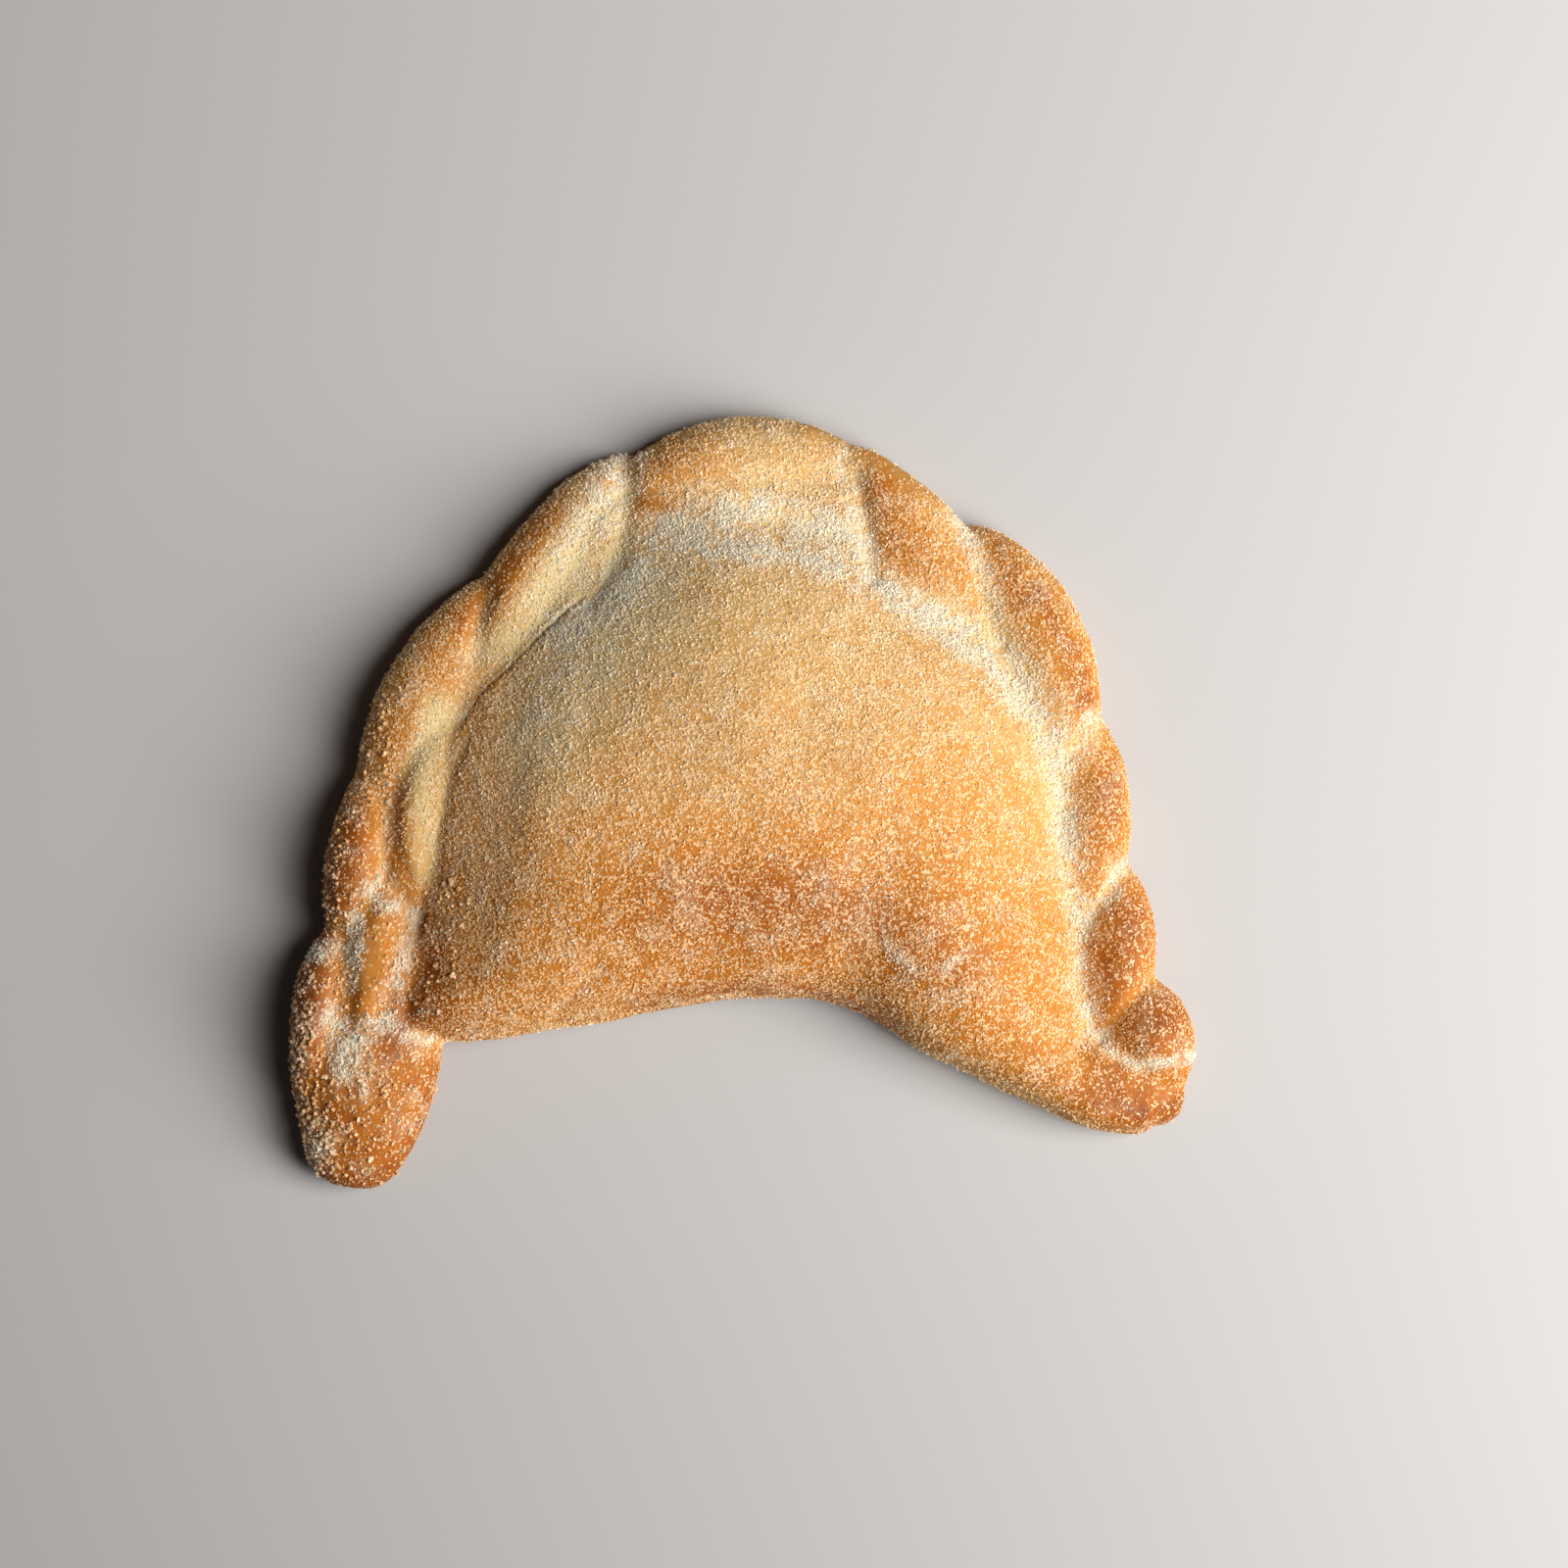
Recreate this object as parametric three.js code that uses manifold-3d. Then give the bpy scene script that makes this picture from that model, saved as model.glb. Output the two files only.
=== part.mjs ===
// A baked sweet empanada: a half-moon turnover lying flat on its filled belly, with the sealed rim
// folded over itself, pinch after pinch, into a thick twisted rope that runs from one tip to the other.
// The turnover is one piece of dough, so it is one solid. Millimetres, +Z up, origin on the table
// under the middle of the outline.
import * as THREE from "three";
import { mergeVertices } from "three/addons/utils/BufferGeometryUtils.js";
import Module from "manifold-3d";

const { lerp, clamp } = THREE.MathUtils;

// ---- driving dimensions: the rope -----------------------------------------------------------------

// The middle line of the rope, from the lower left tip, over the top, to the right tip.
const RIM_LINE = [
  [-51.4, -47.5], [-50.2, -36], [-49, -22], [-46.7, -4], [-43.3, 7.5], [-36.6, 20.6], [-26.4, 31],
  [-15, 39.2], [-6, 43.4], [4.5, 44.6], [15, 41.5], [34.2, 28.4], [44.3, 12], [48.5, -8], [51, -24],
  [54.5, -31],
];

// The folds of the rope, one pinch after the other. from and to are distances along the rim line. out
// and into are how far the fold lies outside that line at its start and at its end, and bow is how far
// its middle swings further out. rise and riseEnd are the heights of its middle at both ends, and sink
// is how much lower both ends lie than its middle. blunt is small for square ends, large for pointed.
const LEFT_FINGER = { from: 33, to: -4, out: -1, into: 0.7, width: 20, widthEnd: 18, thick: 12.4,
  rise: 7.6, riseEnd: 4, blunt: 0.3, sink: 1 };
const FINGER_RIDGE = { from: 32, to: 5, out: 4.8, into: 7, bow: 1, width: 7, thick: 10, rise: 8.5,
  riseEnd: 5.6 };
const SECOND_FOLD = { from: 54, to: 26.5, out: 3, into: 3.4, bow: 0.4, width: 9, thick: 11, rise: 7.2 };
const TONGUE = { from: 38, to: 14, out: -0.8, into: 1.8, bow: -0.9, width: 6, thick: 7, rise: 10.4 };
const THIRD_FOLD = { from: 85, to: 34, out: -0.6, into: -2.6, bow: 3.1, width: 12.5, thick: 11.5,
  rise: 5.4, riseEnd: 7 };
const THIRD_RIDGE = { from: 64, to: 33, out: -2.8, into: -4.4, bow: 0.6, width: 8.8, thick: 11, rise: 7.2,
  riseEnd: 9.2 };
const FOURTH_FOLD = { from: 103, to: 65, out: 5.2, into: -4.9, bow: -0.3, width: 12.2, thick: 11.5,
  rise: 3.4, riseEnd: 6.8, blunt: 0.38 };
const TOP_FOLD = { from: 93, to: 137, out: 0.5, into: 0, bow: 0.6, width: 12.5, thick: 11.5, rise: 3.8 };
const SIXTH_FOLD = { from: 123, to: 158, out: 2.6, into: -6.4, bow: 0.4, width: 12.4, thick: 11.6, rise: 3.8,
  riseEnd: 6.4 };
const SEVENTH_FOLD = { from: 145, to: 185, out: 2.4, into: -5.6, bow: 1.6, width: 12, thick: 12, rise: 4,
  riseEnd: 6.2 };
const EIGHTH_FOLD = { from: 171, to: 204, out: -0.8, into: -5, bow: 2.1, width: 10, thick: 11.4,
  rise: 4, riseEnd: 6 };
const NINTH_FOLD = { from: 192, to: 218, out: -2, into: -5.5, bow: 4, width: 10, thick: 11.4,
  rise: 4, riseEnd: 5.8 };
const TENTH_FOLD = { from: 209, to: 226, out: -1.2, into: -3, bow: 1.9, width: 11.4, thick: 12,
  rise: 4.8 };
const RIGHT_TAIL = { from: 209, to: 228, out: -17, into: -0.4, bow: -1, width: 12, thick: 12, rise: 4.6,
  sink: 1, blunt: 0.3 };

// The flattened seam that the folds are pinched from, which also joins them to the belly.
const SEAM = { from: 8, to: 218, out: -2, into: -3.2, width: 12.6, widthEnd: 11, thick: 10, rise: 5.6,
  riseEnd: 2.8, sink: 0, blunt: 0.15 };

const FOLD_STATIONS = 16; // sections along one fold
const FOLD_SIDES = 16; // points round each section of a fold
const FOLD_UNDERSIDE = 1.3; // how far a fold reaches down from its middle, for each mm that it reaches up
const FOLD_SINK = 2; // sink, where no other is given
const FOLD_BLUNT = 0.42; // blunt, where no other is given
const FOLD_END_TRIM = 0.02; // share of a fold's length left off each end, so that it ends in a face

// ---- driving dimensions: the belly ----------------------------------------------------------------

const BELLY_HEIGHT = 24; // top of the filled dome above the table

// The folded edge of the dough disc, the hollow side of the half-moon, from the left tip to the right.
const BELLY_EDGE = [
  [-49.4, -31.4], [-37.4, -31.6], [-26, -30.3], [-13, -28.2], [-1, -26], [11, -26.3], [17, -28.6],
  [25, -33.8], [37, -39.3], [46, -43.6], [53, -44.3], [57.6, -41.5],
];

// The line where the belly ends against the rope, from the left tip, over the top, to the right.
const BELLY_SEAM = [
  [-48.8, -29.6], [-45.6, -24.4], [-42.6, -19.5], [-41.3, -13], [-40.7, -5.5], [-39, 4.5], [-35.4, 13.2],
  [-24.4, 23.8], [-15.4, 33.4], [-8, 37.4], [0, 38], [14.7, 33.6], [27, 25.4], [33.2, 20.4], [38.4, 13.8],
  [42, 4], [43.4, -7], [44.7, -18], [45.2, -26], [48, -31.6], [53, -33.4], [59, -34.8],
];

// How the belly rises from its folded edge: distance in from the edge, and share of BELLY_HEIGHT.
const EDGE_RISE = [[0, 0.2], [1.5, 0.5], [5.6, 0.7], [13.9, 0.885], [24, 0.975], [33, 1]];

// How high it stands at the seam: share of the way from the left tip to the right, and share of
// BELLY_HEIGHT. And how it rises from there: distance in from the seam, and share of the whole rise.
const SEAM_HEIGHT = [[0, 0.47], [0.28, 0.46], [0.42, 0.36], [0.7, 0.33], [1, 0.35]];
const SEAM_RISE = [[0, 0], [4, 0.3], [9, 0.57], [15, 0.775], [23, 0.92], [32, 1]];

const RISE_BLEND = 6; // how sharply the two rises meet; the lower of the two holds

// How the folded edge curls in under itself: share of the way to the seam, and share of the height.
const EDGE_CURL = [[0.07, 0], [0.02, 0.06]];
const SEAM_FOOT = [0.985, 0]; // where the belly stands on the table under the seam, in the same shares

// Share of the way from the left tip to the right, and share of BELLY_HEIGHT there.
const BELLY_LENGTHWISE = [[0, 0.88], [0.12, 0.97], [0.25, 1], [0.6, 1], [0.76, 0.92], [0.9, 0.78], [1, 0.7]];

const BELLY_TIP_ROUNDING = 0.055; // share of the belly's length in which each tip rounds off
const BELLY_TIP_SIZE = 0.46; // size of the last section, as a share of the full one
const BELLY_STATIONS = 44; // sections along the belly
const BELLY_COLUMNS = 26; // points over each section, from the folded edge to the seam
const LINE_SAMPLES = 240; // points taken along a line to measure distances from it

const TABLE_BLOCK = { side: 300, depth: 40 }; // the block that levels the underside
const CRUST_FINISH = { color: 0xd9a860, roughness: 0.6, metalness: 0 };

// ---- curves ---------------------------------------------------------------------------------------

function lineThrough(points) {
  return new THREE.CatmullRomCurve3(
    points.map(([x, y]) => new THREE.Vector3(x, y, 0)), false, "centripetal");
}

const rimLine = lineThrough(RIM_LINE);
rimLine.arcLengthDivisions = 800;
const rimLength = rimLine.getLength();
const bellyEdge = lineThrough(BELLY_EDGE);
const bellySeam = lineThrough(BELLY_SEAM);

// A point given by its distance along the rim line, its distance outwards from it, and its height.
// Past either end the line runs straight on.
function rimPoint(along, outward, height) {
  const share = clamp(along / rimLength, 0, 1);
  const tangent = rimLine.getTangentAt(share);
  const point = rimLine.getPointAt(share);
  point.addScaledVector(tangent, along - share * rimLength);
  point.x -= tangent.y * outward;
  point.y += tangent.x * outward;
  point.z = height;
  return point;
}

// A smooth value at x through points of rising x and their values, level past both ends.
function smoothThrough(points, x) {
  const place = clamp(x, points[0][0], points.at(-1)[0]);
  const upper = Math.max(points.findIndex(([at]) => at >= place), 1);
  const pointAt = (index) => points[clamp(index, 0, points.length - 1)];
  const slopeAt = (index) => (pointAt(index + 1)[1] - pointAt(index - 1)[1])
    / (pointAt(index + 1)[0] - pointAt(index - 1)[0]);
  const [x0, value0] = points[upper - 1];
  const [x1, value1] = points[upper];
  const t = (place - x0) / (x1 - x0);
  return (2 * t ** 3 - 3 * t ** 2 + 1) * value0 + (t ** 3 - 2 * t ** 2 + t) * slopeAt(upper - 1) * (x1 - x0)
    + (3 * t ** 2 - 2 * t ** 3) * value1 + (t ** 3 - t ** 2) * slopeAt(upper) * (x1 - x0);
}

// The distance from a point to the nearest of the points taken along a line.
function distanceTo(samples, point) {
  return Math.min(...samples.map((sample) => sample.distanceTo(point)));
}

// ---- solids ---------------------------------------------------------------------------------------

const wasm = await Module();
wasm.setup();

function toSolid(positions, triangles) {
  return new wasm.Manifold(new wasm.Mesh({
    numProp: 3,
    vertProperties: new Float32Array(positions),
    triVerts: new Uint32Array(triangles),
  }));
}

// A closed body through a row of rings with equal numbers of points, each end shut by a fan. The
// rings turn anticlockwise, seen from the end that the row runs towards.
function loft(rings) {
  const sides = rings[0].length;
  const positions = rings.flat().flatMap((point) => [point.x, point.y, point.z]);
  const triangles = [];
  for (let row = 0; row + 1 < rings.length; row += 1) {
    for (let side = 0; side < sides; side += 1) {
      const here = row * sides + side;
      const next = row * sides + (side + 1) % sides;
      triangles.push(here, next, here + sides, next, next + sides, here + sides);
    }
  }
  for (const row of [0, rings.length - 1]) {
    const middle = new THREE.Vector3();
    rings[row].forEach((point) => middle.addScaledVector(point, 1 / sides));
    const hub = positions.length / 3;
    positions.push(middle.x, middle.y, middle.z);
    for (let side = 0; side < sides; side += 1) {
      const here = row * sides + side;
      const next = row * sides + (side + 1) % sides;
      triangles.push(...(row === 0 ? [hub, next, here] : [hub, here, next]));
    }
  }
  return toSolid(positions, triangles);
}

// One fold of the rope: a rounded lobe of dough along a bowed line, thick in its middle.
function fold({ from, to, out, into, bow = 0, width, widthEnd = width, thick, rise,
  riseEnd = rise, sink = FOLD_SINK, blunt = FOLD_BLUNT }) {
  const spine = (t) => {
    const hump = 4 * t * (1 - t);
    return rimPoint(lerp(from, to, t), lerp(out, into, t) + bow * hump,
      lerp(rise, riseEnd, t) - sink * (1 - hump));
  };
  const rings = [];
  for (let station = 0; station <= FOLD_STATIONS; station += 1) {
    const angleAlong = Math.PI * lerp(2 * FOLD_END_TRIM, 1 - 2 * FOLD_END_TRIM, station / FOLD_STATIONS);
    const t = (1 - Math.cos(angleAlong)) / 2;
    const step = FOLD_END_TRIM / 2;
    const middle = spine(t);
    const tangent = spine(Math.min(t + step, 1)).sub(spine(Math.max(t - step, 0))).normalize();
    const side = new THREE.Vector3(0, 0, 1).cross(tangent).normalize();
    const up = tangent.clone().cross(side);
    const fullness = Math.sin(Math.PI * t) ** blunt;
    const ring = [];
    for (let corner = 0; corner < FOLD_SIDES; corner += 1) {
      const angle = 2 * Math.PI * corner / FOLD_SIDES;
      const reach = Math.sin(angle) < 0 ? thick / 2 * FOLD_UNDERSIDE : thick / 2;
      ring.push(middle.clone()
        .addScaledVector(side, lerp(width, widthEnd, t) / 2 * fullness * Math.cos(angle))
        .addScaledVector(up, reach * fullness * Math.sin(angle)));
    }
    rings.push(ring);
  }
  return loft(rings);
}

// The filled belly: sections from the folded edge over the top to the seam. They run from the right
// tip to the left, closer together towards the tips, which are rounded off.
function belly() {
  const edgeSamples = bellyEdge.getSpacedPoints(LINE_SAMPLES);
  const seamSamples = bellySeam.getSpacedPoints(LINE_SAMPLES);
  const rings = [];
  for (let station = BELLY_STATIONS; station >= 0; station -= 1) {
    const even = station / BELLY_STATIONS;
    const share = (even + (1 - Math.cos(Math.PI * even)) / 2) / 2;
    const fromTip = Math.min(1, Math.min(share, 1 - share) / BELLY_TIP_ROUNDING);
    const roundness = lerp(BELLY_TIP_SIZE, 1, Math.sqrt(1 - (1 - fromTip) ** 2));
    const height = BELLY_HEIGHT * smoothThrough(BELLY_LENGTHWISE, share) * roundness;
    const seamHeight = smoothThrough(SEAM_HEIGHT, share);
    const inner = bellyEdge.getPointAt(share);
    const outer = bellySeam.getPointAt(share);
    const across = (way) => inner.clone().lerp(outer, 0.5 + (way - 0.5) * roundness);
    const onTop = [];
    for (let column = 0; column < BELLY_COLUMNS; column += 1) {
      const evenWay = column / (BELLY_COLUMNS - 1);
      const point = across((evenWay + (1 - Math.cos(Math.PI * evenWay)) / 2) / 2);
      const edgeRise = smoothThrough(EDGE_RISE, distanceTo(edgeSamples, point));
      const seamRise = lerp(seamHeight, 1, smoothThrough(SEAM_RISE, distanceTo(seamSamples, point)));
      point.z = height * (edgeRise ** -RISE_BLEND + seamRise ** -RISE_BLEND - 1) ** (-1 / RISE_BLEND);
      onTop.push(point);
    }
    const low = ([way, heightShare]) => across(way).setZ(height * heightShare);
    rings.push([...EDGE_CURL.map(low), ...onTop, low(SEAM_FOOT)]);
  }
  return loft(rings);
}

// The block under the table line.
function tableBlock() {
  const { side, depth } = TABLE_BLOCK;
  const box = new THREE.BoxGeometry(side, side, depth).translate(0, 0, -depth / 2);
  box.deleteAttribute("normal");
  box.deleteAttribute("uv");
  const merged = mergeVertices(box);
  return toSolid(merged.getAttribute("position").array, merged.index.array);
}

const folds = [
  LEFT_FINGER, FINGER_RIDGE, SECOND_FOLD, TONGUE, THIRD_FOLD, THIRD_RIDGE, FOURTH_FOLD, TOP_FOLD,
  SIXTH_FOLD, SEVENTH_FOLD, EIGHTH_FOLD, NINTH_FOLD, TENTH_FOLD, RIGHT_TAIL,
];
let turnover = belly().add(fold(SEAM));
for (const sizes of folds) {
  turnover = turnover.add(fold(sizes));
}
turnover = turnover.subtract(tableBlock());

// ---- the scene graph ------------------------------------------------------------------------------

const surface = turnover.getMesh();
const geometry = new THREE.BufferGeometry();
geometry.setAttribute("position", new THREE.BufferAttribute(surface.vertProperties, 3));
geometry.setIndex(new THREE.BufferAttribute(surface.triVerts, 1));
geometry.computeBoundingBox();
const outlineMiddle = geometry.boundingBox.getCenter(new THREE.Vector3());
geometry.translate(-outlineMiddle.x, -outlineMiddle.y, 0);
geometry.computeVertexNormals();

const crust = new THREE.Mesh(geometry, new THREE.MeshStandardMaterial(CRUST_FINISH));
crust.name = "crust";

const empanada = new THREE.Group();
empanada.add(crust);
export default empanada;
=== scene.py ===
import math

import bpy
import numpy as np
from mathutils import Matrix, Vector, noise


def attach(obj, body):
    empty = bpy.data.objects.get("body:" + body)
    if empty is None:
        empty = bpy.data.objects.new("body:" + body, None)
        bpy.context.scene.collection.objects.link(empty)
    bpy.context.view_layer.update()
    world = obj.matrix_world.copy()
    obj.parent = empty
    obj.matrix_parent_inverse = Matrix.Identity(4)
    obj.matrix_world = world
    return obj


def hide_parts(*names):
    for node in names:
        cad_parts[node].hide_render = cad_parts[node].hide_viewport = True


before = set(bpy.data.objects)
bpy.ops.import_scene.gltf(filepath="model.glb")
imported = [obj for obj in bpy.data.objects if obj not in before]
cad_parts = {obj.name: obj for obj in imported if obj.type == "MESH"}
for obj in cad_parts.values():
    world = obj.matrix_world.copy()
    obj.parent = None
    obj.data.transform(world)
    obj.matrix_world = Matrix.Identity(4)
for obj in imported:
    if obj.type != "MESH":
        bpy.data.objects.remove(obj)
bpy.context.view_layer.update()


# ---- The dough's shape ---------------------------------------------------------------------
# One disc of wheat dough, folded over its filling, its rim rolled over itself fold by fold.
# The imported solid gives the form; here its facets are worn to the soft skin of risen dough.

MM = 0.001                      # the scene is in metres

SKIN_VOXEL = 0.52 * MM
MERGE_DISTANCE = 0.001 * MM
FAIRING_ROUNDS = 31
FAIRING_STEPS = (0.5, -0.52)    # each round draws the skin in, then lets it out again
TABLE_LEVEL = 0.0


def copied_piece(name, source):
    """Makes a piece from a copy of another's mesh, and leaves it as the only one selected."""
    piece = bpy.data.objects.new(name, source.data.copy())
    bpy.context.collection.objects.link(piece)
    bpy.ops.object.select_all(action="DESELECT")
    bpy.context.view_layer.objects.active = piece
    piece.select_set(True)
    return piece


crust = copied_piece("baked_crust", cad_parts["crust"])
bpy.ops.object.mode_set(mode="EDIT")
bpy.ops.mesh.select_all(action="SELECT")
bpy.ops.mesh.remove_doubles(threshold=MERGE_DISTANCE)
bpy.ops.object.mode_set(mode="OBJECT")
bpy.ops.object.modifier_add(type="REMESH")
remesh = crust.modifiers[-1]
remesh.mode = "VOXEL"
remesh.voxel_size = SKIN_VOXEL
bpy.ops.object.modifier_apply(modifier=remesh.name)

skin_count = len(crust.data.vertices)
skin_edges = np.empty(2 * len(crust.data.edges), np.int32)
crust.data.edges.foreach_get("vertices", skin_edges)
edge_starts, edge_ends = skin_edges[0::2], skin_edges[1::2]
neighbour_counts = np.bincount(skin_edges, minlength=skin_count)[:, None]


def mean_of_neighbours(values):
    """For each point of the skin, the mean of what its neighbours hold."""
    total = np.empty_like(values)
    for axis in range(values.shape[1]):
        total[:, axis] = np.bincount(edge_starts, values[edge_ends, axis], skin_count)
        total[:, axis] += np.bincount(edge_ends, values[edge_starts, axis], skin_count)
    return total / neighbour_counts


def skin_places():
    """The skin's points, in mm."""
    places = np.empty(3 * skin_count)
    crust.data.vertices.foreach_get("co", places)
    return places.reshape(-1, 3) / MM


def move_skin(places):
    """Puts the skin's points at these places, in mm, none of them under the table's level."""
    places[:, 2] = np.maximum(places[:, 2], TABLE_LEVEL)
    crust.data.vertices.foreach_set("co", (places * MM).ravel())
    crust.data.update()


def skin_normals():
    """The skin's outward directions."""
    normals = np.empty(3 * skin_count)
    crust.data.vertices.foreach_get("normal", normals)
    return normals.reshape(-1, 3)


places = skin_places()
for _ in range(FAIRING_ROUNDS):
    for step in FAIRING_STEPS:
        places += step * (mean_of_neighbours(places) - places)
move_skin(places)


# ---- Creases and dents ---------------------------------------------------------------------
# Where one fold of dough lies on the next, a finger has pressed a crease. The belly has sunk
# a little over its filling. Each is a route in plan, in mm, pressed in square to the skin.

UPRIGHT, LYING = 0.05, 0.4      # how far skin faces up, from -1 to 1; only what lies is pressed

plan = places[:, :2]            # where the skin's points lie from above, as they are moved
heights = places[:, 2]          # and how high
normals = skin_normals()


def evened_out(values, rounds):
    """What the skin's points hold, each round made the mean of its neighbours."""
    for _ in range(rounds):
        values = mean_of_neighbours(values)
    return values


def smooth_step(low, high, value):
    """0 below low and 1 above high, with a soft climb between them."""
    share = np.clip((value - low) / (high - low), 0.0, 1.0)
    return share * share * (3.0 - 2.0 * share)


def stroke(route, half_width):
    """A soft stripe along a route: 1 on it, falling off over half_width."""
    nearest = np.full(skin_count, np.inf)
    for start, end in zip(route, route[1:]):
        step = np.subtract(end, start)
        share = np.clip((plan - start) @ step / (step @ step), 0.0, 1.0)
        away = plan - start - share[:, None] * step
        nearest = np.minimum(nearest, np.hypot(away[:, 0], away[:, 1]))
    return np.exp(-(nearest / half_width) ** 2)


def spot(centre, length, width, turn=0.0):
    """A soft oval: 1 in its middle, its length turned by so many degrees from +X."""
    angle = math.radians(turn)
    away = plan - centre
    along = away @ (math.cos(angle), math.sin(angle))
    across = away @ (-math.sin(angle), math.cos(angle))
    return np.exp(-(along / length) ** 2 - (across / width) ** 2)


def cloudy(width, offset=0.0):
    """Soft patches of about this width, in mm, from -1 to 1; each offset gives other ones."""
    return np.array([noise.noise(Vector(place / width + offset)) for place in places])


upper_side = smooth_step(UPRIGHT, LYING, normals[:, 2])

SUGARED_SEAM = [                # where the rope lies against the belly
    (-24.4, 23.8), (-15.4, 33.0), (-8.0, 36.6), (0.0, 37.0), (14.7, 33.4), (27.0, 25.4),
    (33.2, 20.4), (38.4, 13.8), (42.0, 4.0), (43.4, -7.0), (44.7, -18.0), (45.2, -26.0),
]
SOFTENED_AREAS = (              # rounds of evening out, and where
    (39, stroke(SUGARED_SEAM, 3.6)),
    # the belly's dome
    (94, np.minimum(1.0, 2.0 * spot((2.0, 4.0), 28.0, 24.0))),
    # between finger and belly
    (117, 0.9 * spot((-48.5, -20.5), 5.5, 9.0)),
    # the belly's left flank, low and high
    (260, 0.9 * stroke([(-35.5, -18.0), (-35.5, -4.0), (-32.0, 8.0)], 6.0)),
    (260, 0.95 * stroke([(-27.5, 14.0), (-20.0, 24.0), (-13.5, 30.5), (-5.0, 35.5)], 6.5)),
    # between the sixth and seventh folds
    (47, 0.8 * stroke([(27.0, 38.0), (31.0, 31.0), (34.0, 24.0)], 3.0)),
)
for rounds, mask in SOFTENED_AREAS:
    places += (mask * upper_side)[:, None] * (evened_out(places, rounds) - places)

CREASES = (                     # route, half width and depth
    # the finger, the tongue beside it and the third fold
    ([(-52.5, -19.5), (-51.5, -22.1), (-52.1, -25.1), (-53.0, -30.0)], 1.2, 0.4),
    ([(-45.1, -17.2), (-46.4, -23.4), (-47.7, -27.7)], 1.3, 0.3),
    ([(-45.8, 2.0), (-45.9, -5.1), (-45.1, -7.5), (-43.9, -10.5)], 1.0, 0.4),
    ([(-34.7, 13.0), (-36.4, 7.8), (-38.6, 2.6), (-39.8, -4.0), (-40.4, -10.0)], 0.8, 0.25),
    # from fold to fold, the third to the tenth, and the tail
    ([(-33.3, 28.0), (-34.7, 25.5), (-35.4, 22.5), (-35.5, 19.5)], 1.2, 0.7),
    ([(-15.1, 44.0), (-15.6, 38.0), (-16.4, 32.8), (-20.4, 26.8)], 1.5, 0.8),
    ([(15.3, 43.6), (16.5, 36.7), (17.5, 30.0)], 1.3, 0.8),
    ([(29.4, 36.5), (31.3, 31.2), (32.4, 26.3), (34.1, 21.3)], 1.2, 0.6),
    ([(45.8, 11.0), (44.9, 8.5), (43.6, 6.5)], 1.0, 0.5),
    ([(50.2, -9.2), (48.5, -12.7), (46.2, -15.1)], 1.0, 0.6),
    ([(52.7, -25.2), (50.1, -28.3), (47.8, -31.2)], 0.9, 0.3),
    ([(47.5, -31.5), (49.8, -33.5), (53.0, -34.6), (57.4, -34.2)], 0.9, 0.7),
    # the belly: a wide dent, and a crease low on its left
    ([(14.0, -27.0), (16.5, -17.0), (18.5, -7.0)], 5.5, 0.8),
    ([(-24.3, -27.6), (-20.4, -23.4), (-18.5, -21.5)], 0.9, 0.3),
)
for route, half_width, depth in CREASES:
    places -= (depth * stroke(route, half_width) * upper_side)[:, None] * normals

UNEVENNESS = ((9.0, 0.40), (3.2, 0.10), (1.1, 0.04))    # how wide and how high, in mm
LEVEL_BELOW = 0.4               # what lies on the table, in mm, stays level
UNEVEN_ABOVE = 3.0

for width, height in UNEVENNESS:
    lumps = height * cloudy(width) * smooth_step(LEVEL_BELOW, UNEVEN_ABOVE, heights)
    places += lumps[:, None] * normals
move_skin(places)
bpy.ops.object.shade_smooth()


# ---- How far it is baked -------------------------------------------------------------------
# The oven browns what stands out, and leaves what lies in a crease pale. Some strokes are painted
# shade and light as well: a few creases and sides turned from the window darker, shaded flanks and
# sides turned to it paler. Bake runs from 0, raw and creamy, to 1, dark brown, and is kept on the
# skin for the crust's finish to read.

VALLEY_ROUNDS = 55              # how far the skin is evened out to tell valleys from ridges
LEVEL_CRUST_DEPTH = 0.12        # level crust counts as so deep a valley, in mm
EVEN_BAKE = 0.30

normals = skin_normals()
valley = np.einsum("ij,ij->i", evened_out(places, VALLEY_ROUNDS) - places, normals)
valley += LEVEL_CRUST_DEPTH     # in mm, and less than 0 on a ridge

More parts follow.
